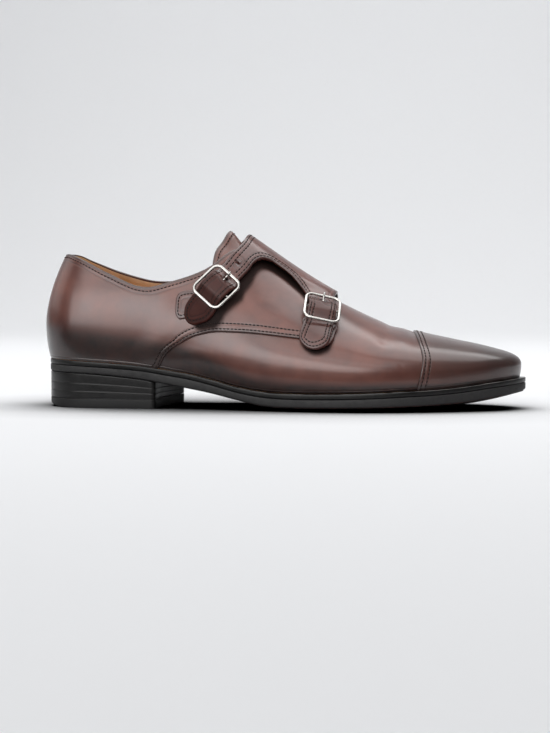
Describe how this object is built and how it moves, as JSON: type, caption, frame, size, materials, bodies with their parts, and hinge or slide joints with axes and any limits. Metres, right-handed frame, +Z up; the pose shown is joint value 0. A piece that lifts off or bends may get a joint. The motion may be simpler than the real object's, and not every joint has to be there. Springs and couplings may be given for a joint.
{
  "type": "monk strap shoe",
  "caption": "Men's monk strap shoe for the right foot: hollow leather upper with toe cap, two buckled straps on the outer side, welted sole and stacked heel.",
  "frame": {"origin": "centre of the bounding box on the floor, under the standing shoe", "axes": "+X towards the toe, +Y towards the inner side of the foot, +Z up"},
  "size_m": [0.3014, 0.101, 0.1104],
  "materials": {
    "upper": "brown calf, polished, with fine grain and creases",
    "toe_cap": "brown calf burnished almost black, polished",
    "straps": "brown calf, folded and stitched edges",
    "insole": "tan lining leather, matt",
    "sole_edge": "black dyed leather edge, waxed",
    "heel_rubber": "black rubber, matt",
    "buckle": "polished silver colour"
  },
  "bodies": {
    "root": {"outsole": "sole_edge", "welt": "sole_edge", "heel_stack": "sole_edge", "heel_top_piece": "heel_rubber", "insole": "insole", "upper": "upper", "toe_cap": "toe_cap", "tongue": "upper", "monk_strap_flap": "straps", "buckle_tab_rear": "straps", "buckle_tab_front": "straps", "buckle_frame_rear": "buckle", "buckle_frame_front": "buckle", "buckle_prong_rear": "buckle", "buckle_prong_front": "buckle"}
  },
  "joints": []
}
